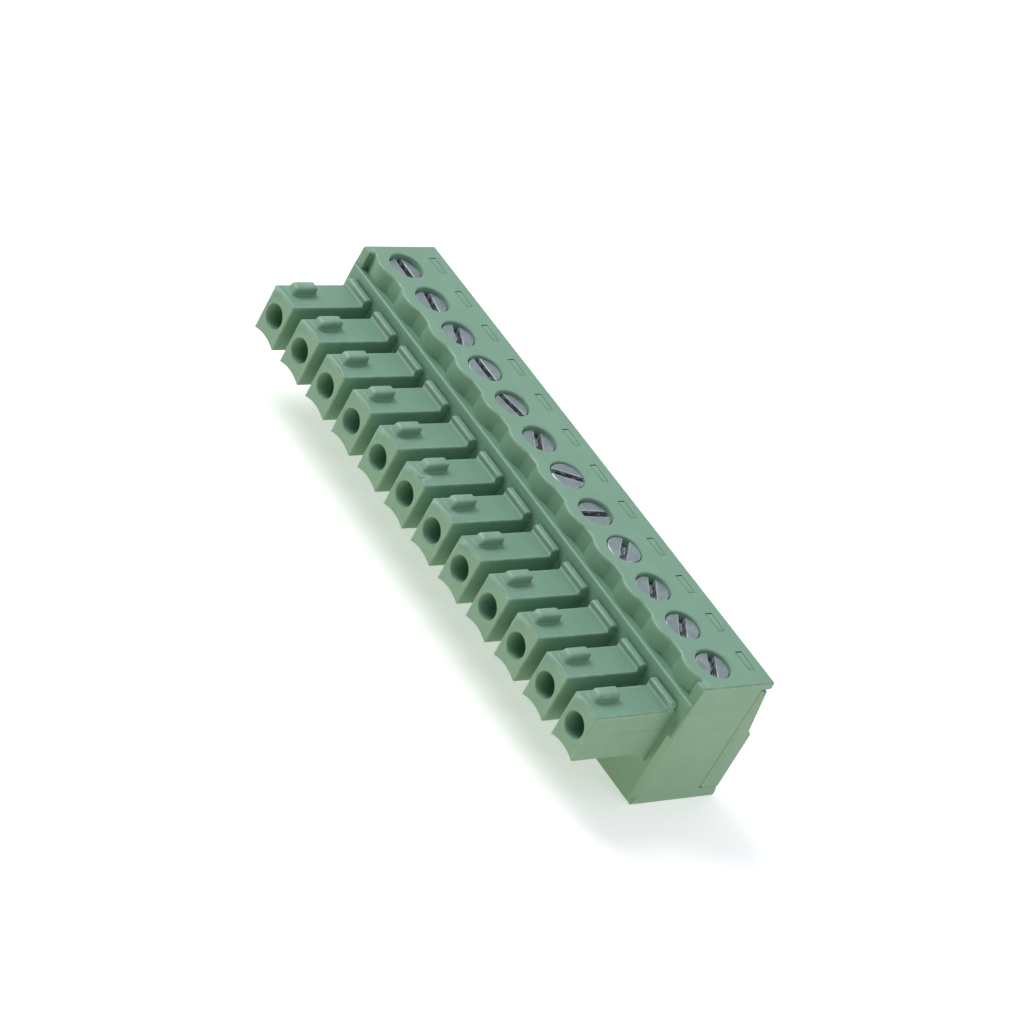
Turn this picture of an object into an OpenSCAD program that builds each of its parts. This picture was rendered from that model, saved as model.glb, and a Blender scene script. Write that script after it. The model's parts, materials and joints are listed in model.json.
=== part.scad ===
// Removable screw terminal block: a plug with a comb of sockets in front and wire clamps behind.
// The front plane of the two end cheeks is the datum for depth inside the modules below.

/* [Row] */
// Number of poles in the row
poles = 12; // [2:1:16]
// Distance from one pole to the next
pitch = 3.81; // [3.75:0.01:4.2]
// Thickness of the wall between two clamp chambers
partition_t = 0.69; // [0.5:0.01:0.75]
// Thickness of the wall at each end of the row
end_wall_t = 0.735; // [0.65:0.005:1.2]

/* [Housing] */
// Height of the housing
body_h = 11; // [10.8:0.1:13]
// Thickness of the front wall
front_wall_t = 1.2; // [1.1:0.05:1.5]
// How far the front wall stands before the end cheeks
wall_proud = 0.2; // [0.18:0.01:0.3]
// Depth of a clamp chamber from the front wall to the open rear
chamber_d = 4.8; // [4.7:0.05:6]
// Thickness of the top wall behind the screws
top_wall_t = 0.65; // [0.5:0.05:0.8]
// How far the top lip reaches behind the rear plane
top_lip = 0.95; // [0.8:0.05:1.1]
// Thickness of the bottom lip under the rear cover
bottom_lip_t = 0.95; // [0.7:0.05:1.2]
// How far the bottom lip stands behind the rear cover
bottom_lip_proud = 0.25; // [0.1:0.05:0.5]
// Height of the upright rear edge of the bottom lip
bottom_edge_h = 0.4; // [0.3:0.05:0.6]
// Bevel under the rear edge of the bottom lip
bottom_bevel = 0.1; // [0.05:0.05:0.25]
// Bevel on the lower front corners of the base
corner_bevel = 0.45; // [0.3:0.05:0.5]
// Height of the bevel on the lower front corners
corner_bevel_h = 6.3; // [4:0.1:8]
// Length of a latch window in the top wall
window_w = 1.77; // [1.4:0.01:2.1]
// Depth of a latch window in the top wall
window_d = 0.59; // [0.5:0.01:0.7]
// Bridge of the top wall behind a latch window
bridge_d = 0.88; // [0.75:0.01:1]

/* [Screw tower] */
// Height of the tower above the ledge on the front wall
tower_rise = 1.55; // [1.2:0.05:1.8]
// Bevel on the front edge of the ledge
ledge_bevel = 0.16; // [0.05:0.01:0.16]
// Wall of the boss around a screw well
boss_wall = 1.09; // [1.05:0.01:1.2]
// Depth of the flat valleys between the bosses
valley = 0.38; // [0.25:0.01:0.45]
// Thickness of the cheek at each end of the tower
cheek_t = 0.85; // [0.7:0.05:0.95]

/* [Fingers] */
// Width of a plug finger
finger_w = 2.69; // [2.5:0.01:3]
// Reach of the fingers before the front plane
finger_reach = 7.33; // [7:0.01:8.5]
// Height of the pin axis
pin_z = 6.2; // [6:0.05:6.6]
// Finger above the pin axis
finger_above = 1.9; // [1.7:0.05:2.2]
// Finger below the pin axis
finger_below = 2.1; // [1.9:0.05:2.4]
// Diameter of the pin hole in the tip
pin_hole_d = 1.9; // [1.4:0.05:2]
// Bevel at the mouth of the pin hole
pin_mouth = 0.06; // [0.03:0.01:0.15]
// Thickness of the finger tip around the pin hole
tip_t = 1.75; // [1.5:0.05:2]
// Depth of the hollow along the underside of a finger
hollow = 0.3; // [0.15:0.01:0.4]
// Length of the collar across the root of a finger
collar_l = 0.66; // [0.5:0.02:0.9]
// Height of the collar above the finger
collar_h = 0.68; // [0.4:0.02:0.8]
// Gap between the collar and the front wall
collar_gap = 0.1; // [0.08:0.02:0.3]
// Bevel along the top edges of the collar
collar_bevel = 0.14; // [0.08:0.02:0.24]
// Gusset under the root of a finger
gusset = 0.9; // [0.5:0.05:1.2]
// Width of the coding tab on a finger
tab_w = 0.9; // [0.7:0.05:1.1]
// Length of the coding tab
tab_l = 2.3; // [1.8:0.05:2.8]
// Height of the coding tab
tab_h = 0.68; // [0.4:0.02:0.9]
// Set-back of the coding tab from the finger tip
tab_back = 0.65; // [0.4:0.05:1]
// Lead-in slope on the front of the coding tab
tab_lead = 0.4; // [0.2:0.05:0.6]
// Offset of the coding tab from the middle of the finger
tab_shift = 0.5; // [0.3:0.05:0.6]

/* [Clamp screws] */
// Diameter of a screw head
head_d = 2.6; // [2.4:0.02:2.7]
// Height of a screw head
head_h = 1.1; // [0.9:0.05:1.3]
// Depth of the head below the top face when the screw is right down
head_recess = 0.34; // [0.26:0.02:0.6]
// Bevel around the top of the head
head_bevel = 0.1; // [0.05:0.01:0.2]
// Width of the driver slot
slot_w = 0.54; // [0.4:0.02:0.6]
// Depth of the driver slot
slot_depth = 0.6; // [0.4:0.05:0.7]
// Diameter of the screw thread
thread_d = 1.9; // [1.6:0.05:2]
// Bevel at the tip of the screw
tip_bevel = 0.25; // [0.1:0.05:0.4]

/* [Clamp cages] */
// Depth of a cage along the wire
cage_d = 3; // [2.6:0.05:3.1]
// Thickness of the side walls of a cage
cage_wall = 0.4; // [0.3:0.02:0.45]
// Thickness of the threaded roof of a cage
cage_roof_t = 1.3; // [1:0.05:1.5]
// Thickness of the floor of a cage
cage_floor_t = 0.8; // [0.6:0.05:1]
// Free height for the wire when the cage is open
wire_gap = 2.2; // [2.1:0.05:2.4]
// Bevel along the outer edges of a cage
cage_bevel = 0.25; // [0.1:0.01:0.3]
// Depth of the grip grooves in the floor of a cage
grip_depth = 0.15; // [0.08:0.01:0.25]

/* [Contacts] */
// Thickness of the contact strip
strip_t = 0.4; // [0.3:0.02:0.45]
// Distance from the pin axis down to the bar of the contact
bar_drop = 0.55; // [0.52:0.01:0.65]
// Half height of the spring blades
blade_half = 0.75; // [0.6:0.05:0.85]
// Gap between the spring blades where they pinch the pin
pinch_gap = 0.7; // [0.5:0.02:0.9]
// Distance of the pinch from the inner end of the finger tip
pinch_back = 1.5; // [1:0.05:2.2]

/* [Rear cover] */
// Depth of the cover at its foot
cover_d = 1.65; // [1.5:0.05:2.2]
// Depth of the cover at its top edge
cover_top_d = 0.52; // [0.4:0.02:0.6]
// How far each end of the cover stands before the end of the housing
cover_proud = 0.1; // [0.05:0.01:0.2]
// Bevel at each end of the cover along its seam with the housing
seam_bevel = 0.24; // [0.1:0.02:0.4]
// Height of the frame around the wire funnels
frame_z = 6.06; // [6:0.02:6.8]
// Step back above the wire frame
frame_step = 0.38; // [0.2:0.02:0.5]
// Diameter of the round wire throat
throat_d = 2.1; // [1.6:0.05:2.1]
// Diameter of the funnel at the rear face
funnel_d = 3.2; // [2.6:0.05:3.4]
// Depth of the funnel
funnel_depth = 1.1; // [0.8:0.05:1.4]
// Wall of the wire guide above and below the throat
guide_wall = 0.3; // [0.2:0.02:0.4]
// Thickness of the sloped upper wall of the cover
slope_t = 0.7; // [0.66:0.02:0.8]
// Thickness of the latch tongues
tongue_t = 0.45; // [0.3:0.05:0.6]
// Depth of the latch hooks below the top face
hook_recess = 0.1; // [0.05:0.01:0.3]

/* [Clearances] */
// Around a screw head in its well
head_clear = 0.06; // [0.05:0.01:0.12]
// Around the screw in the thread of the cage
thread_clear = 0.05; // [0.05:0.01:0.08]
// Under the tip of the screw
tip_clear = 0.05; // [0.05:0.01:0.1]
// At each side of a cage in its chamber
cage_clear = 0.06; // [0.05:0.01:0.1]
// In front of and under a cage
cage_end_clear = 0.12; // [0.08:0.01:0.2]
// Between a cage and the contact bar at both ends of its travel
bar_clear = 0.1; // [0.08:0.01:0.2]
// At each side of the contact bar in the finger and in the cage
contact_clear = 0.07; // [0.05:0.01:0.1]
// Between the housing and the rear cover
seam = 0.05; // [0.05:0.01:0.1]
// In front of a latch hook and at its sides in the window
hook_clear = 0.09; // [0.06:0.01:0.12]
// Between the cover and the parts inside a chamber
guide_clear = 0.1; // [0.08:0.01:0.2]

/* [Hidden] */
$fn = 48;
plastic = "#7fab90";
plated_steel = "#a3a3ab";
plated_brass = "#c3c0b4";
tinned_bronze = "#c9c7bd";
// Overlap of a cut or a joined shape past the face that it meets
over = 0.2;
// Margin that keeps a cut from just touching an edge
margin = 0.02;
// Angle of the driver slot on each screw, as the screws were left
slot_turn = [-3, -12, -25, 0, 12, -28, 62, 84, -42, -32, -33, -30];
// How far each screw stands above its lowest place, as the screws were left
screw_lift = [0, 0.05, 0.13, 0.18, 0.1, 0.05, 0.25, 0.09, 0.25, 0.12, 0.16, 0.13];

// Widths
chamber_w = pitch - partition_t;
row_w = (poles - 1) * pitch + chamber_w + 2 * end_wall_t;
cage_w = chamber_w - 2 * cage_clear;
cage_window_w = cage_w - 2 * cage_wall;
bar_w = cage_window_w - 4 * contact_clear;
cavity_w = bar_w + 2 * contact_clear;
hook_w = window_w - 2 * hook_clear;
guide_w = chamber_w - 2 * guide_clear;
cover_w = row_w + 2 * cover_proud;

// Depths, measured from the front plane
wall_front = -wall_proud;
wall_inner = wall_front + front_wall_t;
screw_y = wall_inner + cage_end_clear + cage_d / 2;
cage_rear = screw_y + cage_d / 2;
rear_y = wall_inner + chamber_d;
cover_front = rear_y + seam;
cover_rear = cover_front + cover_d;
body_d = cover_rear + bottom_lip_proud;
top_rear = rear_y + top_lip;
window_rear = top_rear - bridge_d;
window_front = window_rear - window_d;
tip_y = -finger_reach;
cavity_front = tip_y + tip_t;
collar_rear = wall_front - collar_gap;
collar_front = collar_rear - collar_l;
bar_rear = cage_rear + bar_clear;
guide_front = bar_rear + guide_clear;
relief_front = window_front - hook_clear - over;
front_y = (finger_reach - body_d) / 2;

// Heights
ledge_z = body_h - tower_rise;
ceiling_z = body_h - top_wall_t;
finger_top = pin_z + finger_above;
finger_bottom = pin_z - finger_below;
bar_top = pin_z - bar_drop;
bar_bottom = bar_top - strip_t;
cage_roof = bar_top + bar_clear;
cage_top = cage_roof + cage_roof_t;
cage_floor = bar_bottom - wire_gap;
cage_bottom = cage_floor - cage_floor_t;
chamber_floor = cage_bottom - cage_end_clear;
head_top = body_h - head_recess;
head_bottom = head_top - head_h;
chamber_top = head_bottom - cage_end_clear;
screw_tip = bar_top + tip_clear;
cavity_top = pin_z + blade_half + bar_clear;
wire_z = (cage_floor + bar_bottom) / 2;
cover_bottom = bottom_lip_t + seam;
cover_top = ceiling_z - seam;
hook_top = body_h - hook_recess;

// Radii
head_r = head_d / 2;
thread_r = thread_d / 2;
well_r = head_r + head_clear;
boss_r = well_r + boss_wall;
pin_hole_r = pin_hole_d / 2;
throat_r = throat_d / 2;
funnel_r = funnel_d / 2;
hollow_r = (finger_w * finger_w / 4 + hollow * hollow) / (2 * hollow);
// Depth of the flat valleys, measured from the front plane
valley_y = screw_y - boss_r + valley;

function slot_angle(i) = slot_turn[i % len(slot_turn)];
function lift(i) = screw_lift[i % len(screw_lift)];
function pole_x(i) = (i - (poles - 1) / 2) * pitch;
function pole_name(name, i) = str(name, i < 9 ? "_0" : "_", i + 1);
function pole_names(name) = [for (i = [0 : poles - 1]) pole_name(name, i)];

// Puts a shape that is drawn from the front plane into the frame of the part
module in_frame() {
    translate([0, front_y, 0]) children();
}

// Puts a shape that is drawn about one pole at that pole
module at_pole(i) {
    translate([pole_x(i), 0, 0]) children();
}

module each_pole() {
    for (i = [0 : poles - 1]) at_pole(i) children();
}

// Extrudes an outline of depth and height along the row, centred on the pole
module along_row(width) {
    rotate([90, 0, 90]) linear_extrude(height = width, center = true) children();
}

// A box from its lowest corner to its highest one
module box(low, high) {
    translate(low) cube(high - low);
}

// A cylinder that runs towards the rear
module rod(y0, y1, z, r0, r1) {
    translate([0, y0, z]) rotate([-90, 0, 0]) cylinder(h = y1 - y0, r1 = r0, r2 = r1);
}

// Outline of the housing: base, rear lips, front wall with its ledge, and the tower
module body_block() {
    along_row(row_w) polygon([
        [wall_front, 0],
        [body_d - bottom_bevel, 0],
        [body_d, bottom_bevel],
        [body_d, bottom_edge_h],
        [cover_rear + seam, bottom_lip_t],
        [rear_y, bottom_lip_t],
        [rear_y, ceiling_z],
        [top_rear, ceiling_z],
        [top_rear, body_h],
        [0, body_h],
        [0, ledge_z],
        [wall_front + ledge_bevel, ledge_z],
        [wall_front, ledge_z - ledge_bevel],
    ]);
}

// The space in front of the tower between the end cheeks, with the bosses left standing in it
module tower_front() {
    half = row_w / 2 - cheek_t;
    difference() {
        box([-half, -over, ledge_z], [half, valley_y, body_h + over]);
        each_pole() translate([0, screw_y, ledge_z - over])
            cylinder(h = tower_rise + 3 * over, r = boss_r);
    }
}

// An upright bevel on both ends of a row of the given width, along the edge at the depth y
module end_bevels(bevel, width, y, low, high) {
    side_l = bevel * sqrt(2);
    for (side = [-1, 1]) translate([side * width / 2, y, (low + high) / 2])
        rotate([0, 0, 45]) cube([side_l, side_l, high - low], center = true);
}

// One plug finger with the collar and the gusset at its root
module finger() {
    root = wall_front + over;
    along_row(finger_w) polygon([
        [tip_y, finger_bottom],
        [wall_front - gusset, finger_bottom],
        [wall_front, finger_bottom - gusset],
        [root, finger_bottom - gusset],
        [root, finger_top],
        [collar_rear, finger_top],
        [collar_rear, finger_top + collar_h - collar_bevel],
        [collar_rear - collar_bevel, finger_top + collar_h],
        [collar_front + collar_bevel, finger_top + collar_h],
        [collar_front, finger_top + collar_h - collar_bevel],
        [collar_front, finger_top],
        [tip_y, finger_top],
    ]);
    coding_tab();
}

module coding_tab() {
    tab_front = tip_y + tab_back;
    translate([-tab_shift, 0, 0]) along_row(tab_w) polygon([
        [tab_front, finger_top - over],
        [tab_front, finger_top],
        [tab_front + tab_lead, finger_top + tab_h],
        [tab_front + tab_l, finger_top + tab_h],
        [tab_front + tab_l, finger_top - over],
    ]);
}

// Everything that is cut out of the housing at one pole
module pole_cuts() {
    half = chamber_w / 2;
    box([-half, wall_inner, chamber_floor], [half, rear_y + over, chamber_top]);
    box([-half, relief_front, chamber_top - over], [half, rear_y + over, ceiling_z]);
    box([-window_w / 2, window_front, ceiling_z - over], [window_w / 2, window_rear, body_h + over]);
    translate([0, screw_y, 0]) screw_well();
    socket_cuts();
}

module screw_well() {
    translate([0, 0, chamber_top - over]) cylinder(h = body_h - chamber_top + 2 * over, r = well_r);
    translate([0, 0, body_h - head_bevel])
        cylinder(h = 2 * head_bevel, r1 = well_r, r2 = well_r + 2 * head_bevel);
}

module socket_cuts() {
    half = cavity_w / 2;
    rod(tip_y - over, cavity_front + over, pin_z, pin_hole_r, pin_hole_r);
    rod(tip_y - pin_mouth, tip_y + pin_mouth, pin_z, pin_hole_r + 2 * pin_mouth, pin_hole_r);
    rod(tip_y - over, wall_front - gusset, finger_bottom + hollow - hollow_r, hollow_r, hollow_r);
    box([-half, cavity_front, bar_bottom], [half, wall_inner + over, cavity_top]);
}

module housing() {
    color(plastic) in_frame() difference() {
        union() {
            body_block();
            each_pole() finger();
        }
        tower_front();
        end_bevels(corner_bevel, row_w, wall_front, -over, corner_bevel_h);
        end_bevels(wall_proud - margin, row_w, wall_front, 0, ledge_z + over);
        each_pole() pole_cuts();
    }
}

// Outline of the cover: a wire frame below, a step, and a wall that slopes in to the top
module cover_outline() {
    polygon([
        [cover_front, cover_bottom],
        [cover_rear, cover_bottom],
        [cover_rear, frame_z],
        [cover_rear - frame_step, frame_z + frame_step],
        [cover_front + cover_top_d, cover_top],
        [cover_front, cover_top],
    ]);
}

// Wire guide and latch of the cover at one pole
module cover_pole() {
    half = guide_w / 2;
    guide_half = throat_r + guide_wall;
    box([-half, guide_front, wire_z - guide_half], [half, cover_front + over, wire_z + guide_half]);
    hook_front = window_front + hook_clear;
    hook_rear = window_rear - seam;
    box([-hook_w / 2, hook_front, cover_top - tongue_t], [hook_w / 2, cover_front + over, cover_top]);
    box([-hook_w / 2, hook_front, cover_top - tongue_t], [hook_w / 2, hook_rear, hook_top]);
}

// Wire funnel, and the hollow behind the sloped wall at one pole
module cover_cuts() {
    funnel_front = cover_rear - funnel_depth;
    flare = (funnel_r - throat_r) / funnel_depth;
    rod(guide_front - over, funnel_front + over, wire_z, throat_r, throat_r);
    rod(funnel_front, cover_rear + over, wire_z, throat_r, funnel_r + flare * over);
    slope_foot = frame_z + frame_step;
    slope_run = cover_d - frame_step - cover_top_d;
    pocket_d = cover_d - frame_step - slope_t;
    pocket_h = pocket_d * (cover_top - slope_foot) / slope_run;
    along_row(guide_w) polygon([
        [cover_front - over, slope_foot],
        [cover_front + pocket_d, slope_foot],
        [cover_front, slope_foot + pocket_h],
        [cover_front - over, slope_foot + pocket_h],
    ]);
}

module rear_cover() {
    color(plastic) in_frame() difference() {
        union() {
            along_row(cover_w) cover_outline();
            each_pole() cover_pole();
        }
        each_pole() cover_cuts();
        end_bevels(seam_bevel, cover_w, cover_front, cover_bottom - over, cover_top + over);
    }
}

// Slotted captive screw, whose tip bears on the contact bar
module clamp_screw(i) {
    color(plated_steel) in_frame() at_pole(i) translate([0, screw_y, lift(i)]) difference() {
        rotate_extrude() polygon([
            [0, screw_tip],
            [thread_r - tip_bevel, screw_tip],
            [thread_r, screw_tip + tip_bevel],
            [thread_r, head_bottom],
            [head_r, head_bottom],
            [head_r, head_top - head_bevel],
            [head_r - head_bevel, head_top],
            [0, head_top],
        ]);
        rotate([0, 0, slot_angle(i)]) translate([-head_d, -slot_w / 2, head_top - slot_depth])
            cube([2 * head_d, slot_w, slot_depth + over]);
    }
}

// Clamp cage that the screw draws up, with a ribbed floor under the wire
module clamp_cage(i) {
    half = cage_w / 2;
    grooves = 3;
    color(plated_brass) in_frame() at_pole(i) translate([0, screw_y, 0]) difference() {
        rotate([90, 0, 0]) linear_extrude(height = cage_d, center = true) polygon([
            [-half + cage_bevel, cage_bottom],
            [half - cage_bevel, cage_bottom],
            [half, cage_bottom + cage_bevel],
            [half, cage_top - cage_bevel],
            [half - cage_bevel, cage_top],
            [-half + cage_bevel, cage_top],
            [-half, cage_top - cage_bevel],
            [-half, cage_bottom + cage_bevel],
        ]);
        box([-cage_window_w / 2, -cage_d, cage_floor], [cage_window_w / 2, cage_d, cage_roof]);
        translate([0, 0, cage_roof - over]) cylinder(h = cage_roof_t + 2 * over, r = thread_r + thread_clear);
        for (g = [1 : grooves]) translate([0, cage_d * (g / (grooves + 1) - 0.5), cage_floor])
            along_row(cage_window_w)
                polygon([[-grip_depth, 0], [0, -grip_depth], [grip_depth, 0], [0, over]]);
    }
}

// One spring blade of the contact, which bows in to pinch the pin and opens again at its mouth
module spring_blade() {
    outer = bar_w / 2;
    inner = outer - strip_t;
    bow = inner - pinch_gap / 2;
    mouth = cavity_front + contact_clear;
    pinch = cavity_front + pinch_back;
    translate([0, 0, pin_z - blade_half]) linear_extrude(height = 2 * blade_half) polygon([
        [outer, wall_front],
        [inner, wall_front],
        [inner - bow, pinch],
        [inner, mouth],
        [outer, mouth],
        [outer - bow, pinch],
    ]);
}

// Folded strip: a flat bar under the screw and two blades that hold the pin
module contact(i) {
    half = bar_w / 2;
    fold_front = wall_front - over;
    fold_rear = wall_inner - bar_clear;
    color(tinned_bronze) in_frame() at_pole(i) {
        box([-half, fold_front, bar_bottom], [half, bar_rear, bar_top]);
        for (side = [0, 1]) mirror([side, 0, 0]) {
            spring_blade();
            box([half - strip_t, fold_front, bar_bottom], [half, fold_rear, pin_z + blade_half]);
        }
    }
}

housing();
rear_cover();
for (i = [0 : poles - 1]) {
    clamp_screw(i);
    clamp_cage(i);
    contact(i);
}
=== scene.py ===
# Removable terminal block: edges, finishes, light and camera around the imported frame
import json
import math

import bmesh
import bpy
from mathutils import Matrix, Quaternion, Vector


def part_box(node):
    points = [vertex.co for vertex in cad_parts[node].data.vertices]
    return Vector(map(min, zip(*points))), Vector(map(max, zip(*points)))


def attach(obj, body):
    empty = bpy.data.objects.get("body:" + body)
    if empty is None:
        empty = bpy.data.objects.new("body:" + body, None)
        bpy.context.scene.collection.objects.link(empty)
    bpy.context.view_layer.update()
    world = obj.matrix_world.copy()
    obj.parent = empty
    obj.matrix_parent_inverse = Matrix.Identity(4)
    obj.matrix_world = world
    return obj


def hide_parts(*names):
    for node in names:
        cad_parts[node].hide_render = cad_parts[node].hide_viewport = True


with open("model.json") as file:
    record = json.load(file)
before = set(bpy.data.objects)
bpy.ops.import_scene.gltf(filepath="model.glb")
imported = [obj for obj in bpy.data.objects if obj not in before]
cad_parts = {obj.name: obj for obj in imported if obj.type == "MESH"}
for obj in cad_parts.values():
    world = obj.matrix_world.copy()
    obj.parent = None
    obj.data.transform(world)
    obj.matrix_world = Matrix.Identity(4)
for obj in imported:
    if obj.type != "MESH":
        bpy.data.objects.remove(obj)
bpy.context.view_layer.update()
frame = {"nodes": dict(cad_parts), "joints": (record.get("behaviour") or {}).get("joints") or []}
mm = 0.001
weld = 1e-7
flatAngle = math.radians(0.4)
poleAxes = [Vector(joint["pos_m"]) for joint in frame["joints"] if joint["type"] == "hinge"]
poleNames = ["%02d" % (i + 1) for i in range(len(poleAxes))]
polePitch = poleAxes[1].x - poleAxes[0].x
print("frame loaded:", len(frame["nodes"]), "nodes,", len(poleAxes), "poles")


class Field:
    # one socket of a material; arithmetic on it adds Math nodes
    def __init__(self, tree, socket=None):
        self.tree = tree
        self.socket = socket

    def node(self, kind, settings, inputs, out=0):
        made = self.tree.nodes.new(kind)
        for key, value in settings.items():
            if key == "stops":
                ramp = made.color_ramp.elements
                while len(ramp) < len(value):
                    ramp.new(1)
                for stop, (place, colour) in zip(ramp, value):
                    stop.position = place
                    stop.color = colour
            else:
                setattr(made, key, value)
        for key, value in inputs.items():
            target = next(s for s in made.inputs if key in (s.identifier, s.name))
            if isinstance(value, Field):
                self.tree.links.new(value.socket, target)
            else:
                target.default_value = value
        if isinstance(out, str):
            return Field(self.tree, next(s for s in made.outputs if out in (s.identifier, s.name)))
        return Field(self.tree, made.outputs[out] if made.outputs else None)

    def maths(self, operation, first, second=0.0):
        return self.node("ShaderNodeMath", {"operation": operation}, {"Value": first, "Value_001": second})

    def __add__(self, other):
        return self.maths("ADD", self, other)

    def __radd__(self, other):
        return self.maths("ADD", other, self)

    def __sub__(self, other):
        return self.maths("SUBTRACT", self, other)

    def __rsub__(self, other):
        return self.maths("SUBTRACT", other, self)

    def __mul__(self, other):
        return self.maths("MULTIPLY", self, other)

    def __rmul__(self, other):
        return self.maths("MULTIPLY", other, self)

    def __truediv__(self, other):
        return self.maths("DIVIDE", self, other)

    def __pow__(self, other):
        return self.maths("POWER", self, other)

    def __abs__(self):
        return self.maths("ABSOLUTE", self)

    def above(self, other):
        return self.maths("MAXIMUM", self, other)

    def below(self, other):
        return self.maths("MINIMUM", self, other)

    def over(self, limit):
        return self.maths("GREATER_THAN", self, limit)


def startMaterial(name):
    material = bpy.data.materials.new(name)
    material.use_nodes = True
    material.node_tree.nodes.clear()
    return material, Field(material.node_tree)


def objectCoords(start):
    return start.node("ShaderNodeTexCoord", {}, {}, "Object")


def parted(start, vector):
    split = start.node("ShaderNodeSeparateXYZ", {}, {"Vector": vector}).socket.node
    return [Field(start.tree, split.outputs[key]) for key in "XYZ"]


def endMaterial(start, inputs):
    shader = start.node("ShaderNodeBsdfPrincipled", {}, inputs, "BSDF")
    start.node("ShaderNodeOutputMaterial", {}, {"Surface": shader})


def placeMm(start, coords):
    # the three object coordinates in millimetres, and the distance along the row from the nearest pole
    x, y, z = (part / mm for part in parted(start, coords))
    steps = (x - poleAxes[0].x / mm) / (polePitch / mm) + 0.5
    offset = (steps - start.maths("FLOOR", steps) - 0.5) * (polePitch / mm)
    return x, y, z, offset


def fromScrew(y, offset):
    # the distance from the axis of the nearest screw
    return (offset * offset + (y - poleAxes[0].y / mm) ** 2.0) ** 0.5


def nearBoth(first, second, reach):
    # 1 where two distances are both nothing, 0 from the given reach on
    return (1.0 - abs(first).above(abs(second)) / reach).above(0.0)


def noise(start, coords, grainMm, detail=2.0, rough=0.5):
    inputs = {"Vector": coords, "Scale": 1 / (grainMm * mm), "Detail": detail, "Roughness": rough}
    return start.node("ShaderNodeTexNoise", {}, inputs, "Fac")


def mixColour(start, factor, first, second, blend="MIX"):
    settings = {"data_type": "RGBA", "blend_type": blend}
    inputs = {"Factor_Float": factor, "A_Color": first, "B_Color": second}
    return start.node("ShaderNodeMix", settings, inputs, "Result_Color")


def ramp(start, factor, stops):
    grey = [(place, (level, level, level, 1)) for place, level in stops]
    return start.node("ShaderNodeValToRGB", {"stops": grey}, {"Fac": factor}, "Color")


def stretched(start, coords, scale):
    return start.node("ShaderNodeMapping", {}, {"Vector": coords, "Scale": scale}, "Vector")


def bumpFrom(start, height, depthMm, strength):
    inputs = {"Strength": strength, "Distance": depthMm * mm, "Height": height}
    return start.node("ShaderNodeBump", {}, inputs, "Normal")


# Moulded green polyamide: cloudy pigment, flow streaks, a satin skin, rubbed edges partly painted as
# highlight, painted highlights on corner bevels and cover beads, painted shade in the screw wells, and
# parting lines
greenPlastic = {
    "deep": (0.151, 0.313, 0.211, 1),
    "pale": (0.195, 0.371, 0.260, 1),
    # pale of worn edges, partly painted highlight; then painted highlight colours for corner bevels and cover
    # beads, and painted shade for the screw wells
    "rubbed": (0.290, 0.450, 0.350, 1),
    "cornerHighlight": (0.222, 0.420, 0.285, 1),
    "bead": (0.335, 0.495, 0.395, 1),
    "smudge": (0.150, 0.262, 0.178, 1),
    "paintedShade": (0.030, 0.058, 0.042, 1),
    "line": (0.105, 0.225, 0.150, 1),
    "cloudMm": 5.0,
    "streakMm": 1.6,
    "streakStretch": (0.22, 1.0, 1.0),
    "grainMm": 0.11,
    "toneShares": (0.9, 0.5, 0.35),
    "patchMm": 0.8,
    "patchStops": [(0.36, 0.15), (0.66, 0.75)],
    "scratchMm": 0.35,
    "scratchStretch": (1.0, 0.16, 0.4),
    "scratchStops": [(0.66, 0.0), (0.78, 0.16)],
    "smudgeMm": 1.3,
    "smudgeStretch": (0.7, 0.7, 1.3),
    "smudgeStops": [(0.42, 0.22), (0.60, 0.0)],
    "roughness": 0.44,
    "roughShares": (0.16, 0.10, 0.10),
    "skinMm": 0.006,
    "skinStrength": 0.55,
    "edgeMm": 0.28,
    "top": 11.0,
    "endFace": 23.25,
    "endSkin": 0.05,
    "topRear": 6.54,
    "bossRadius": 2.45,
    "valley": 0.34,
    "ledge": (-0.34, 9.38),
    "ledgeReach": 0.7,
    "ledgeShare": 0.25,
    "finger": (1.345, 8.10, -7.54),
    "fingerRoot": -0.45,
    "ridges": 8.45,
    "ridgeShare": 0.6,
    "lowCorner": (23.025, -0.185, 6.35),
    "cornerReach": 0.30,
    "cornerGain": 3.0,
    "bandShare": 0.8,
    "coverEdge": (23.28, 5.70, 5.61, 0.98, 10.34),
    "beadReach": 0.24,
    "beadGain": 2.5,
    "beadShares": (0.35, 0.6),
    "well": (1.45, 8.0, 10.34),
    "wellShare": 0.75,
    "fingerLine": 6.4,
    "fingerLineHalf": 0.06,
    "fingerLineSpan": (1.2, -5.2, -0.5),
    "endLine": 6.30,
    "endLineHalf": 0.07,
    "endLineSlope": 0.03,
    "endLineShare": 0.5,
    "lineShare": 0.5,
    "lineDepth": 4.0,
}


def rubbedAndHighlitEdges(x, y, z, offset):
    # the outer edges, collars and tabs made pale: partly rubbed by use, partly painted highlight
    spec = greenPlastic
    reach = spec["edgeMm"]
    downTop = z - spec["top"]
    towerWall = (spec["bossRadius"] - fromScrew(y, offset)).above(y - spec["valley"])
    ledgeFront, ledgeTop = spec["ledge"]
    ledge = nearBoth(y - ledgeFront, z - ledgeTop, reach * spec["ledgeReach"])
    edges = nearBoth(downTop, abs(x) - spec["endFace"], reach)
    edges = edges.above(nearBoth(downTop, y - spec["topRear"], reach))
    edges = edges.above(nearBoth(downTop, towerWall, reach))
    edges = edges.above(ledge * spec["ledgeShare"])
    half, top, tip = spec["finger"]
    side, roof, front = abs(offset) - half, z - top, y - tip
    finger = nearBoth(side, roof, reach).above(nearBoth(roof, front, reach))
    finger = finger.above(nearBoth(side, front, reach))
    finger = finger.above((z - spec["ridges"]).over(0.0) * spec["ridgeShare"])
    return edges.above(finger * (spec["fingerRoot"] - y).over(0.0))


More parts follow.
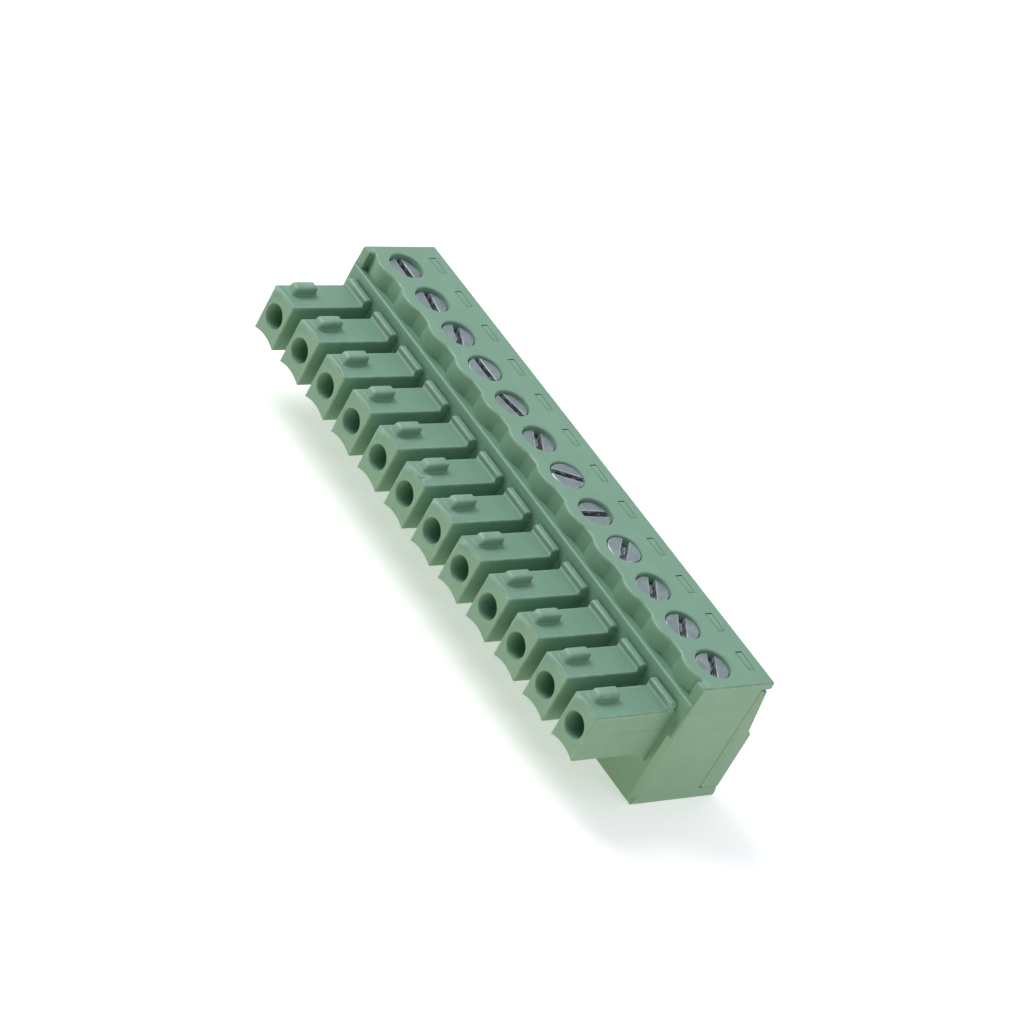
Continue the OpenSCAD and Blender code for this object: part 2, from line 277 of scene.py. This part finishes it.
def paintedHighlightBands(x, y, z):
    # painted highlights on the bevels of the lower front corners and on the beads at the ends of the cover,
    # made lighter to match the photo
    spec = greenPlastic
    cornerEnd, cornerFront, cornerTop = spec["lowCorner"]
    corner = nearBoth(abs(x) - cornerEnd, y - cornerFront, spec["cornerReach"]) * (cornerTop - z).over(0.0)
    beadEnd, beadMiddle, beadFront, beadLow, beadHigh = spec["coverEdge"]
    onCover = (y - beadFront).over(0.0) * (z - beadLow).over(0.0) * (beadHigh - z).over(0.0)
    bead = nearBoth(abs(x) - beadEnd, y - beadMiddle, spec["beadReach"]) * onCover
    return (corner * spec["cornerGain"]).below(1.0), (bead * spec["beadGain"]).below(1.0)


def partingLines(x, y, z, offset):
    # faint seams of the mould along the sides of the fingers and across the end faces
    spec = greenPlastic
    side, tipEnd, rootEnd = spec["fingerLineSpan"]
    onSide = abs(offset).over(side) * (rootEnd - y).over(0.0) * (y - tipEnd).over(0.0)
    fingerLine = nearBoth(z - spec["fingerLine"], 0.0, spec["fingerLineHalf"]) * onSide
    height = z + y * spec["endLineSlope"] - spec["endLine"]
    endLine = nearBoth(height, 0.0, spec["endLineHalf"]) * abs(x).over(spec["endFace"] - spec["endSkin"])
    return fingerLine.above(endLine * spec["endLineShare"])


def wellShade(y, z, offset):
    # painted shade on the walls of the screw wells, made dark to match the rings round the heads in the photo
    wide, low, high = greenPlastic["well"]
    return (wide - fromScrew(y, offset)).over(0.0) * (z - low).over(0.0) * (high - z).over(0.0)


def makeGreenPlastic():
    spec = greenPlastic
    material, start = startMaterial("mouldedGreen")
    coords = objectCoords(start)
    x, y, z, offset = placeMm(start, coords)
    cloud = noise(start, coords, spec["cloudMm"], detail=3.0)
    streak = noise(start, stretched(start, coords, spec["streakStretch"]), spec["streakMm"])
    grain = noise(start, coords, spec["grainMm"], rough=0.6)
    patchy = noise(start, coords, spec["patchMm"], detail=3.0)
    scratch = noise(start, stretched(start, coords, spec["scratchStretch"]), spec["scratchMm"], detail=3.0)
    smudgeCoords = stretched(start, coords, spec["smudgeStretch"])
    smudge = noise(start, smudgeCoords, spec["smudgeMm"], detail=4.0, rough=0.62)
    cloudTone, streakTone, grainTone = spec["toneShares"]
    tone = 0.5 + (cloud - 0.5) * cloudTone + (streak - 0.5) * streakTone + (grain - 0.5) * grainTone
    colour = mixColour(start, tone, spec["deep"], spec["pale"])
    colour = mixColour(start, ramp(start, smudge, spec["smudgeStops"]), colour, spec["smudge"])
    # paler edges, collars and tabs: partly rubbed wear, partly painted highlight
    rubbed = rubbedAndHighlitEdges(x, y, z, offset) * ramp(start, patchy, spec["patchStops"])
    scuffs = ramp(start, scratch, spec["scratchStops"])
    colour = mixColour(start, rubbed.above(scuffs), colour, spec["rubbed"])
    # painted highlights on the lower front corner bevels and on the cover beads
    cornerHighlight, bead = paintedHighlightBands(x, y, z)
    colour = mixColour(start, cornerHighlight * spec["bandShare"], colour, spec["cornerHighlight"])
    beadEven, beadPatchy = spec["beadShares"]
    colour = mixColour(start, bead * (beadEven + patchy * beadPatchy), colour, spec["bead"])
    # painted shade on the walls of the screw wells
    colour = mixColour(start, wellShade(y, z, offset) * spec["wellShare"], colour, spec["paintedShade"])
    lines = partingLines(x, y, z, offset)
    colour = mixColour(start, lines * spec["lineShare"], colour, spec["line"])
    grainRough, cloudRough, wornRough = spec["roughShares"]
    roughness = spec["roughness"] + (grain - 0.5) * grainRough + (cloud - 0.5) * cloudRough
    roughness = roughness - rubbed * wornRough
    skin = bumpFrom(start, grain - lines * spec["lineDepth"], spec["skinMm"], spec["skinStrength"])
    endMaterial(start, {"Base Color": colour, "Roughness": roughness, "Normal": skin, "IOR": 1.5})
    return material


# Zinc plated steel of the screws: turned rings, cloudy plating, rubbed patches, and slots with painted shade
# and streaks of painted glints
zincSteel = {
    # the lightest colour below is for painted glints in the slots and the darkest is for painted shade in
    # them
    "plate": (0.244, 0.306, 0.330, 1),
    "bright": (0.44, 0.48, 0.51, 1),
    "glint": (0.66, 0.74, 0.80, 1),
    "paintedShade": (0.035, 0.040, 0.042, 1),
    "dull": (0.172, 0.212, 0.230, 1),
    "wobbleMm": 0.5,
    "ringMm": 0.09,
    "ringWobble": 1.5,
    "cloudMm": 0.7,
    "cloudStops": [(0.30, 0.25), (0.62, 1.0)],
    "grainMm": 0.06,
    "rubShares": (0.6, 0.4),
    "rubStops": [(0.58, 0.0), (0.72, 0.6)],
    "rim": (1.25, 0.1),
    "rimStops": [(0.40, 0.0), (0.65, 0.8)],
    "lip": (0.30, 0.09),
    "lipStops": [(0.36, 0.1), (0.62, 1.0)],
    "slotTop": -0.05,
    "slotReach": 1.285,
    "slotDullness": 0.6,
    "glintStretch": (0.16, 1.0, 1.0),
    "glintScale": 14.0,
    "glintTowardsEnds": (0.06, 0.03),
    "glintStops": [(0.47, 0.0), (0.62, 1.0)],
    "roughness": 0.38,
    "roughShares": (0.22, 0.20, 0.12),
    "turnedShares": (0.35, 0.9),
    "turnedMm": 0.008,
    "turnedStrength": 0.35,
}


def ridgeAt(distance, ridge):
    # 1 on a circle or a line at the given distance, 0 from the given half width on
    middle, half = ridge
    return (1.0 - abs(distance - middle) / half).above(0.0)


def makeZincSteel():
    spec = zincSteel
    material, start = startMaterial("zincSteel")
    coords = objectCoords(start)
    own = start.node("ShaderNodeAttribute", {"attribute_name": "own"}, {}, "Vector")
    along, across, depth = parted(start, own)
    radius = (along * along + across * across) ** 0.5
    wobble = noise(start, coords, spec["wobbleMm"])
    rings = start.maths("SINE", (radius / spec["ringMm"] + wobble * spec["ringWobble"]) * (2 * math.pi))
    cloud = noise(start, coords, spec["cloudMm"], detail=3.0)
    grain = noise(start, coords, spec["grainMm"], rough=0.6)
    colour = mixColour(start, ramp(start, cloud, spec["cloudStops"]), spec["dull"], spec["plate"])
    grainRub, cloudRub = spec["rubShares"]
    rubbed = ramp(start, grain * grainRub + cloud * cloudRub, spec["rubStops"])
    rim = ridgeAt(radius, spec["rim"]) * ramp(start, wobble, spec["rimStops"])
    lip = ridgeAt(abs(across), spec["lip"]) * ramp(start, wobble, spec["lipStops"])
    colour = mixColour(start, rubbed.above(rim).above(lip), colour, spec["bright"])
    # inside the slots: painted shade, with streaks of painted glints that grow towards the slot ends
    inSlot = (spec["slotTop"] - depth).over(0.0) * (spec["slotReach"] - radius).over(0.0)
    glintCoords = stretched(start, own, spec["glintStretch"])
    glintInputs = {"Vector": glintCoords, "Scale": spec["glintScale"], "Detail": 3.0, "Roughness": 0.6}
    streak = start.node("ShaderNodeTexNoise", {}, glintInputs, "Fac")
    towardsEnd, fromMiddle = spec["glintTowardsEnds"]
    slotGlints = ramp(start, streak + abs(along) * towardsEnd - fromMiddle, spec["glintStops"])
    colour = mixColour(start, inSlot, colour, mixColour(start, slotGlints, spec["paintedShade"], spec["glint"]))
    grainRough, cloudRough, slotRough = spec["roughShares"]
    roughness = spec["roughness"] + (grain - 0.5) * grainRough + (cloud - 0.5) * cloudRough
    roughness = roughness + inSlot * slotRough
    ringHeight, grainHeight = spec["turnedShares"]
    turned = rings * ringHeight + grain * grainHeight
    endMaterial(start, {
        "Base Color": colour,
        "Metallic": 1.0 - inSlot * spec["slotDullness"],
        "Roughness": roughness,
        "Normal": bumpFrom(start, turned, spec["turnedMm"], spec["turnedStrength"]),
    })
    return material


# Plated strip and cages: rolled streaks along one axis and a soft cloud in the plating
nickelBrass = {
    "plate": (0.56, 0.54, 0.48, 1),
    "shade": (0.38, 0.36, 0.31, 1),
    "roughness": 0.32,
    "rolled": (1.0, 0.15, 1.0),
}
tinBronze = {
    "plate": (0.50, 0.50, 0.48, 1),
    "shade": (0.33, 0.33, 0.31, 1),
    "roughness": 0.42,
    "rolled": (1.0, 0.10, 1.0),
}
platedStrip = {
    "cloudMm": 0.9,
    "rolledMm": 0.12,
    "shares": (0.6, 0.4),
    "stops": [(0.35, 0.0), (0.65, 1.0)],
    "roughShare": 0.3,
    "depthMm": 0.006,
    "strength": 0.3,
}


def makePlated(name, spec):
    strip = platedStrip
    material, start = startMaterial(name)
    coords = objectCoords(start)
    cloud = noise(start, coords, strip["cloudMm"], detail=3.0)
    rolled = noise(start, stretched(start, coords, spec["rolled"]), strip["rolledMm"], detail=3.0, rough=0.6)
    cloudShare, rolledShare = strip["shares"]
    plating = ramp(start, cloud * cloudShare + rolled * rolledShare, strip["stops"])
    endMaterial(start, {
        "Base Color": mixColour(start, plating, spec["shade"], spec["plate"]),
        "Metallic": 1.0,
        "Roughness": spec["roughness"] + (rolled - 0.5) * strip["roughShare"],
        "Normal": bumpFrom(start, rolled, strip["depthMm"], strip["strength"]),
    })
    return material


greenMaterial = makeGreenPlastic()
zincMaterial = makeZincSteel()
cageMaterial = makePlated("nickelBrass", nickelBrass)
contactMaterial = makePlated("tinBronze", tinBronze)
print("materials made")


def cutFaces(bm, faces, place, normal):
    # parts the given faces at a plane and returns what the cut made
    around = [part for f in faces for part in list(f.edges) + list(f.verts)]
    geom = faces + list(dict.fromkeys(around))
    return bmesh.ops.bisect_plane(bm, geom=geom, dist=weld, plane_co=place, plane_no=normal)["geom_cut"]


def cadCopy(node, cuts=(), holed=None):
    # a welded copy of a CAD node; its faces with holes are parted at the given places along the row
    bm = bmesh.new()
    bm.from_mesh(frame["nodes"][node].data)
    bmesh.ops.remove_doubles(bm, verts=bm.verts, dist=weld)
    for x in cuts:
        faces = [f for f in bm.faces if holed(f.normal, f.calc_center_median() / mm)]
        for part in cutFaces(bm, faces, (x, 0, 0), (1, 0, 0)):
            if isinstance(part, bmesh.types.BMEdge):
                part.seam = True
    bmesh.ops.dissolve_limit(bm, angle_limit=flatAngle, verts=bm.verts, edges=bm.edges, delimit={"SEAM"})
    return bm


def midMm(edge):
    return (edge.verts[0].co + edge.verts[1].co) / (2 * mm)


def fromPole(x):
    return min((x - axis.x / mm for axis in poleAxes), key=abs)


def weighEdges(bm, widthAt, sharp=55, crease=20, least=30):
    # the width of the round on each edge, kept as a share of the widest one; hollow creases stay crisp
    share = bm.edges.layers.float.new("bevel_weight_edge")
    widths = {}
    for edge in bm.edges:
        turn = math.degrees(edge.calc_face_angle(0)) if len(edge.link_faces) == 2 else 0
        width = widthAt(midMm(edge), edge.is_convex, turn) if turn > least else 0
        if width:
            widths[edge] = width
        edge.smooth = width > 0 or turn < (sharp if edge.is_convex else crease)
    widest = max(widths.values())
    for edge, width in widths.items():
        edge[share] = width / widest
    return widest


def finishPiece(bm, name, body, material, node, roundMm, segments=3):
    mesh = bpy.data.meshes.new(name)
    bm.to_mesh(mesh)
    bm.free()
    mesh.materials.append(material)
    mesh.polygons.foreach_set("use_smooth", [True] * len(mesh.polygons))
    piece = bpy.data.objects.new(name, mesh)
    bpy.context.scene.collection.objects.link(piece)
    edges = piece.modifiers.new("roundEdges", "BEVEL")
    edges.limit_method = "WEIGHT"
    edges.width = roundMm * mm
    edges.segments = segments
    edges.profile = 0.5
    edges.material = -1
    edges.use_clamp_overlap = False
    edges.loop_slide = False
    even = piece.modifiers.new("evenShading", "WEIGHTED_NORMAL")
    even.keep_sharp = True
    even.weight = 60
    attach(piece, body)
    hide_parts(node)


def poleCuts(offset):
    places = [axis.x + offset * mm for axis in poleAxes]
    return places + [axis.x + polePitch / 2 for axis in poleAxes[:-1]]


# Housing: soft moulded edges outside, plain walls in the chambers and finger cavities
housingFinish = {
    "cutFromPole": 0.43,
    "tabTop": 0.24,
    "tabSide": 0.20,
    "tabFoot": 0.12,
    "finger": 0.13,
    "fingerFoot": 0.05,
    "towerTop": 0.17,
    "topEnd": 0.16,
    "bottom": 0.09,
    "collar": 0.085,
    "lowCorner": 0.05,
    "footEdge": 0.03,
    "window": 0.015,
    "seam": 0.03,
    "plain": 0.10,
    "softTurn": 55,
    "near": 0.02,
    "nearEdge": 0.05,
    "onBase": 0.001,
    "facing": 0.999,
    "bevelFacing": 0.6,
    "wallFront": -0.41,
    "endFace": 23.25,
    "rearPlane": 5.59,
    "tipPlane": -7.54,
    "top": 11.0,
    "foot": (0.14, 0.50),
    "chamberRear": 5.62,
    "chamber": (1.59, 0.70, 2.08, 10.38),
    "cavity": (1.08, -5.85, 5.15, 7.25),
    "collarZone": (8.55, -1.3, -0.45),
    "cornerZone": (22.7, 0.1, 0.55, 6.35),
    "tabZone": (-4.5, 8.05, -0.98, -0.02),
    "tabFootTop": 8.12,
    "tabRoof": 8.7,
    "fingerRoot": (-0.5, 7.9),
    "fingerBelly": (4.05, 4.45),
    "cheekFoot": (23.0, -0.2, 9.2, 9.5),
    "windowZone": (10.3, 4.9, 5.75, 0.95),
    "towerZone": (10.9, 1.3, 1.6),
    "endZone": 23.2,
}


def insideHousing(p):
    # in a clamp chamber or in the cavity of a finger
    spec = housingFinish
    offset = abs(fromPole(p.x))
    for half, front, low, high in (spec["chamber"], spec["cavity"]):
        if offset < half and front < p.y < spec["chamberRear"] and low < p.z < high:
            return True
    return False


def softRound(p, nearCorner):
    # the bevelled edges of the collars and of the lower front corners
    spec = housingFinish
    collarLow, collarFront, collarRear = spec["collarZone"]
    if p.z > collarLow and collarFront < p.y < collarRear:
        return spec["collar"]
    cornerLow, cornerHigh = spec["cornerZone"][2:]
    return spec["lowCorner"] if nearCorner and cornerLow < p.z < cornerHigh else 0


def tabRound(p, convex):
    spec = housingFinish
    if p.z > spec["tabFootTop"]:
        return spec["tabTop"] if p.z > spec["tabRoof"] else spec["tabSide"]
    return 0 if convex else spec["tabFoot"]


def fingerRound(p):
    spec = housingFinish
    rootFront, rootLow = spec["fingerRoot"]
    if p.y > rootFront and p.z > rootLow:
        return 0
    low, high = spec["fingerBelly"]
    return spec["fingerFoot"] if low <= p.z <= high else spec["finger"]


def bodyRound(p, offset):
    # the edges of the base and the screw tower
    spec = housingFinish
    cheekEnd, cheekFront, cheekLow, cheekHigh = spec["cheekFoot"]
    if abs(p.x) > cheekEnd and p.y < cheekFront and cheekLow < p.z < cheekHigh:
        return 0
    windowLow, windowFront, windowRear, windowHalf = spec["windowZone"]
    if p.z > windowLow and windowFront < p.y < windowRear and abs(offset) < windowHalf:
        return spec["window"]
    topLow, towerRear, wellEdge = spec["towerZone"]
    fromAxis = math.hypot(offset, p.y - poleAxes[0].y / mm)
    if p.z > topLow and p.y < towerRear and fromAxis > wellEdge:
        return spec["towerTop"]
    if abs(p.x) > spec["endZone"]:
        if p.z > topLow:
            return spec["topEnd"]
        if abs(p.y - spec["rearPlane"]) < spec["nearEdge"]:
            return spec["seam"]
    return spec["bottom"] if p.z < spec["nearEdge"] else spec["plain"]


def housingRound(p, convex, turn):
    spec = housingFinish
    if insideHousing(p):
        return 0
    cornerEnd, cornerRear = spec["cornerZone"][:2]
    nearCorner = abs(p.x) > cornerEnd and p.y < cornerRear
    if turn < spec["softTurn"]:
        return softRound(p, nearCorner) if convex else 0
    offset = fromPole(p.x)
    tabRear, tabLow, tabLeft, tabRight = spec["tabZone"]
    if p.y < tabRear and p.z > tabLow and tabLeft < offset < tabRight:
        return tabRound(p, convex)
    if not convex:
        return 0
    if nearCorner and p.z < spec["foot"][1] + spec["nearEdge"]:
        return spec["footEdge"]
    return fingerRound(p) if p.y < spec["wallFront"] - spec["near"] else bodyRound(p, offset)


def holedHousing(normal, p):
    # the top, the finger tips, the front wall and the rear
    spec = housingFinish
    if normal.z > spec["facing"]:
        return p.z > spec["top"] - spec["nearEdge"]
    if normal.y < -spec["facing"]:
        return p.y < spec["tipPlane"] + spec["near"] or abs(p.y - spec["wallFront"]) < spec["near"]
    return normal.y > spec["facing"] and abs(p.y - spec["rearPlane"]) < spec["near"]


def footBevels(bm, spec):
    # the faces of the lower front corners' bevels that reach the base
    steep = spec["bevelFacing"]
    bevels = [f for f in bm.faces if abs(f.normal.x) > steep and f.normal.y < -steep]
    return [f for f in bevels if min(v.co.z for v in f.verts) < spec["onBase"] * mm]


def squareFoot(bm, spec):
    # the bevel of the lower front corners ends above the foot, which keeps its corner
    low, high = (z * mm for z in spec["foot"])
    for z in (high, low):
        cutFaces(bm, footBevels(bm, spec), (0, 0, z), (0, 0, 1))
    moved = list(dict.fromkeys(v for f in footBevels(bm, spec) for v in f.verts))
    for v in moved:
        v.co.x = math.copysign(spec["endFace"] * mm, v.co.x)
        v.co.y = spec["wallFront"] * mm
    bmesh.ops.remove_doubles(bm, verts=moved, dist=spec["onBase"] * mm)
    print("foot corners:", len(moved), "vertices drawn together")


def makeHousing():
    bm = cadCopy("housing", poleCuts(housingFinish["cutFromPole"]), holedHousing)
    squareFoot(bm, housingFinish)
    print("housing copy:", len(bm.verts), "vertices", len(bm.faces), "faces")
    widest = weighEdges(bm, housingRound)
    finishPiece(bm, "mouldedHousing", "block", greenMaterial, "housing", widest)


makeHousing()
print("housing finished")

# Rear cover: the same moulded edges, with finer ones on the latch hooks
coverFinish = {
    "cutFromPole": 0.43,
    "plain": 0.09,
    "bead": 0.12,
    "hook": 0.02,
    "funnel": 0.08,
    "sharp": 32,
    "near": 0.02,
    "facing": 0.999,
    "innerFace": 5.70,
    "rearFace": 7.29,
    "beadZone": (23.05, 6.0, 1.0, 10.2),
    "hookLow": 10.2,
    "funnelZone": (1.65, 2.5, 5.8),
    "hookTop": 10.85,
    "hookSpread": (0.06, -0.04, 0.02, 0.09),
}


def coverRound(p, convex, turn):
    spec = coverFinish
    if not convex:
        return 0
    beadEnd, beadRear, beadLow, beadHigh = spec["beadZone"]
    if abs(p.x) > beadEnd and p.y < beadRear and beadLow < p.z < beadHigh:
        return spec["bead"]
    if turn < spec["sharp"]:
        return 0
    if p.y < spec["innerFace"]:
        return spec["hook"] if p.z > spec["hookLow"] else 0
    half, low, high = spec["funnelZone"]
    return spec["funnel"] if abs(fromPole(p.x)) < half and low < p.z < high else spec["plain"]


def holedCover(normal, p):
    spec = coverFinish
    return normal.y > spec["facing"] and abs(p.y - spec["rearFace"]) < spec["near"]


def spreadHooks(bm, spec):
    # the latch hooks spread and rise in their windows, with the widest gap left at the left end
    right, front, rear, up = (value * mm for value in spec["hookSpread"])
    tops = [v for v in bm.verts if v.co.z > spec["hookTop"] * mm]
    middle = sum(v.co.y for v in tops) / len(tops)
    for v in tops:
        v.co.x += right if fromPole(v.co.x / mm) > 0 else 0
        v.co.y += rear if v.co.y > middle else front
        v.co.z += up
    print("latch hooks:", len(tops), "vertices spread")


def makeCover():
    bm = cadCopy("rear_cover", poleCuts(coverFinish["cutFromPole"]), holedCover)
    spreadHooks(bm, coverFinish)
    widest = weighEdges(bm, coverRound, coverFinish["sharp"])
    finishPiece(bm, "mouldedCover", "block", greenMaterial, "rear_cover", widest)


makeCover()
print("rear cover finished")

# Clamp screws: slotted heads with worn slot edges and painted shade and glints in the slots, over a rolled
# thread; heights are from the top of the head
clampScrew = {
    "around": 72,
    "head": [(0, 0), (1.19, 0), (1.25, -0.018), (1.288, -0.055), (1.30, -0.11), (1.30, -1.03), (1.24, -1.10)],
    "shank": [(0.74, -1.10), (0.74, -4.76), (0.55, -4.95), (0, -4.95)],
    "slotHalf": 0.27,
    "slotDepth": 0.60,
    "slotTurn": [-3, -12, -25, 0, 12, -28, 62, 84, -42, -32, -33, -30],
    "slotEdge": 0.03,
    "slotNear": (0.001, 0.02),
    "sharp": 40,
    "threadPitch": 0.40,
    "threadTurns": 8,
    "threadFoot": -4.72,
    "threadRise": (0.40, 0.55, 0.95),
    "root": 0.70,
    "crest": 0.93,
    "threadAround": 28,
}


def chain(bm, points):
    # a few vertices in the plane of the axis, joined by edges, ready to be spun
    verts = [bm.verts.new((radius * mm, 0, height * mm)) for radius, height in points]
    return verts + [bm.edges.new(pair) for pair in zip(verts, verts[1:])]


def spinThread(bm, spec):
    # one closed ridge that winds up the shank, its root sunk in the core
    step, foot = spec["threadPitch"], spec["threadFoot"]
    root, crest = spec["root"], spec["crest"]
    crestLow, crestHigh, rootHigh = (foot + step * rise for rise in spec["threadRise"])
    start = chain(bm, [(root, foot), (crest, crestLow), (crest, crestHigh), (root, rootHigh)])
    start.append(bm.edges.new((start[3], start[0])))
    turns, around = spec["threadTurns"], spec["threadAround"]
    spun = bmesh.ops.spin(bm, geom=start, cent=(0, 0, 0), axis=(0, 0, 1), dvec=(0, 0, step * mm / around),
                          angle=2 * math.pi * turns, steps=turns * around)
    for end in (start, spun["geom_last"]):
        bmesh.ops.contextual_create(bm, geom=[part for part in end if isinstance(part, bmesh.types.BMEdge)])


def cutSlot(bm, spec):
    half, floor = spec["slotHalf"] * mm, -spec["slotDepth"] * mm
    whole = bm.verts[:] + bm.edges[:] + bm.faces[:]
    bmesh.ops.bisect_plane(bm, geom=whole, dist=weld, plane_co=(0, 0, floor), plane_no=(0, 0, 1))
    for side in (-half, half):
        faces = [f for f in bm.faces if f.calc_center_median().z > floor]
        cutFaces(bm, faces, (0, side, 0), (0, 1, 0))
    middles = [(f, f.calc_center_median()) for f in bm.faces]
    bmesh.ops.delete(bm, geom=[f for f, m in middles if abs(m.y) < half and m.z > floor], context="FACES")
    rim = [e for e in bm.edges if e.is_boundary]
    low = []
    for side in (-half, half):
        wall = [e for e in rim if all(abs(v.co.y - side) < weld for v in e.verts)]
        corners = [v for v in dict.fromkeys(v for e in wall for v in e.verts) if abs(v.co.z - floor) < weld]
        foot = bm.edges.new(corners)
        low.append(foot)
        bmesh.ops.contextual_create(bm, geom=wall + [foot])
    ends = [e for e in rim if all(abs(v.co.z - floor) < weld for v in e.verts)]
    bmesh.ops.contextual_create(bm, geom=ends + low)


def screwRound(p, convex, turn):
    spec = clampScrew
    nearWall, aboveFloor = spec["slotNear"]
    onSlot = abs(abs(p.y) - spec["slotHalf"]) < nearWall and p.z > -spec["slotDepth"] + aboveFloor
    return spec["slotEdge"] if convex and turn > spec["sharp"] and onSlot else 0


def makeScrew(index, name):
    spec = clampScrew
    node = "clamp_screw_" + name
    bm = bmesh.new()
    outline = chain(bm, spec["head"] + spec["shank"])
    bmesh.ops.spin(bm, geom=outline, cent=(0, 0, 0), axis=(0, 0, 1), angle=2 * math.pi,
                   steps=spec["around"], use_merge=True)
    bmesh.ops.remove_doubles(bm, verts=bm.verts, dist=weld)
    bmesh.ops.dissolve_limit(bm, angle_limit=flatAngle, verts=bm.verts, edges=bm.edges)
    cutSlot(bm, spec)
    spinThread(bm, spec)
    bmesh.ops.recalc_face_normals(bm, faces=bm.faces)
    widest = weighEdges(bm, screwRound, spec["sharp"])
    own = bm.verts.layers.float_vector.new("own")
    for v in bm.verts:
        v[own] = v.co / mm
    top = Vector((poleAxes[index].x, poleAxes[index].y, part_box(node)[1][2]))
    turn = Matrix.Rotation(math.radians(spec["slotTurn"][index]), 4, "Z")
    bmesh.ops.transform(bm, matrix=Matrix.Translation(top) @ turn, verts=bm.verts)
    finishPiece(bm, "slottedScrew_" + name, "screw_" + name, zincMaterial, node,
                widest, segments=2)


for index, name in enumerate(poleNames):
    makeScrew(index, name)
print("screws finished")

# Cages and contacts: stamped and folded metal, with the sharp edges just broken
stampedEdge = {"cage": 0.04, "contact": 0.025, "sharp": 55}


def makeStamped(kind, node, name, body, material):
    def stampedRound(p, convex, turn):
        return stampedEdge[kind] if convex and turn > stampedEdge["sharp"] else 0

    bm = cadCopy(node)
    widest = weighEdges(bm, stampedRound)
    finishPiece(bm, name, body, material, node, widest, segments=2)


for name in poleNames:
    makeStamped("cage", "clamp_cage_" + name, "risingCage_" + name, "cage_" + name,
                cageMaterial)
    makeStamped("contact", "contact_" + name, "foldedContact_" + name, "block",
                contactMaterial)
print("cages and contacts finished")

# Floor, light and camera
studio = {
    "floorSize": 4.0,
    "floorCentreMm": (500, 0, -0.02),
    "floorColour": (0.92, 0.91, 0.89, 1),
    "floorDim": (0.36, 0.34, 0.31, 1),
    "floorGlow": (1.13, 0.99, 0.74, 1),
    "floorShown": (0.42, 0.42, 0.42, 1),
    "floorRoughness": 0.9,
    "skyColour": (0.55, 0.57, 0.61, 1),
    "skyToRear": 0.88,
    "skyToRight": -0.30,
    "skyLeast": 0.05,
    "keyFrom": (-0.61, -0.26, 0.745),
    "keyDistance": 0.85,
    "keySize": 0.5,
    "keyPower": 4.25,
    "azimuth": 39.0605,
    "elevation": 31.7138,
    "distanceMm": 276.430,
    "targetMm": (-0.2454, 1.7319, 5.5),
    "roll": 29.8945,
    "focalPixels": 3894.7,
    "imagePixels": 1024,
    "sensorMm": 36,
}


def shownRays(start):
    # 1 for rays that show a surface in the picture or in a reflection
    light = start.node("ShaderNodeLightPath", {}, {}).socket.node
    kinds = ("Is Camera Ray", "Is Glossy Ray", "Is Transmission Ray")
    straight, mirrored, through = (Field(start.tree, light.outputs[kind]) for kind in kinds)
    return (straight + mirrored + through).below(1.0)


def makeFloor():
    # a hair below the block, off centre so that its diagonal is not under the block, and clear from below
    bm = bmesh.new()
    centre = Matrix.Translation(Vector(studio["floorCentreMm"]) * mm)
    bmesh.ops.create_grid(bm, x_segments=1, y_segments=1, size=studio["floorSize"], matrix=centre)
    mesh = bpy.data.meshes.new("floor")
    bm.to_mesh(mesh)
    bm.free()
    material, start = startMaterial("paleFloor")
    shown = shownRays(start)
    endMaterial(start, {
        "Base Color": mixColour(start, shown, studio["floorDim"], studio["floorColour"]),
        "Roughness": studio["floorRoughness"],
        "Emission Color": mixColour(start, shown, studio["floorGlow"], studio["floorShown"]),
        "Emission Strength": 1.0,
        "Alpha": 1.0 - start.node("ShaderNodeNewGeometry", {}, {}, "Backfacing"),
    })
    mesh.materials.append(material)
    floor = bpy.data.objects.new("floor", mesh)
    bpy.context.scene.collection.objects.link(floor)


def makeSky():
    # white where it shows; as a light it is brighter to the rear and to the left
    world = bpy.data.worlds.new("paleRoom")
    bpy.context.scene.world = world
    world.use_nodes = True
    world.node_tree.nodes.clear()
    start = Field(world.node_tree)
    right, rear = parted(start, objectCoords(start))[:2]
    level = 1.0 + right * studio["skyToRight"] + rear * studio["skyToRear"]
    soft = mixColour(start, 1.0, studio["skyColour"], level.above(studio["skyLeast"]), "MULTIPLY")
    sky = mixColour(start, shownRays(start), soft, (1, 1, 1, 1))
    back = start.node("ShaderNodeBackground", {}, {"Color": sky, "Strength": 1.0}, "Background")
    start.node("ShaderNodeOutputWorld", {}, {"Surface": back})


def makeLamp():
    lamp = bpy.data.lights.new("key", "AREA")
    lamp.shape = "DISK"
    lamp.size = studio["keySize"]
    lamp.energy = studio["keyPower"]
    key = bpy.data.objects.new("key", lamp)
    away = Vector(studio["keyFrom"]).normalized()
    key.location = away * studio["keyDistance"]
    key.rotation_euler = away.to_track_quat("Z", "Y").to_euler()
    bpy.context.scene.collection.objects.link(key)


def makeCamera():
    spec = studio
    azimuth, elevation = math.radians(spec["azimuth"]), math.radians(spec["elevation"])
    level = math.cos(elevation)
    away = Vector((math.sin(azimuth) * level, -math.cos(azimuth) * level, math.sin(elevation)))
    lens = bpy.data.cameras.new("camera")
    lens.sensor_width = spec["sensorMm"]
    lens.lens = spec["focalPixels"] / spec["imagePixels"] * spec["sensorMm"]
    lens.clip_start = 0.01
    camera = bpy.data.objects.new("camera", lens)
    camera.location = Vector(spec["targetMm"]) * mm + away * spec["distanceMm"] * mm
    turn = away.to_track_quat("Z", "Y") @ Quaternion((0, 0, 1), math.radians(spec["roll"]))
    camera.rotation_euler = turn.to_euler()
    bpy.context.scene.collection.objects.link(camera)
    bpy.context.scene.camera = camera


makeFloor()
makeSky()
makeLamp()
makeCamera()
bpy.context.scene.view_settings.view_transform = "Standard"
print("studio set")
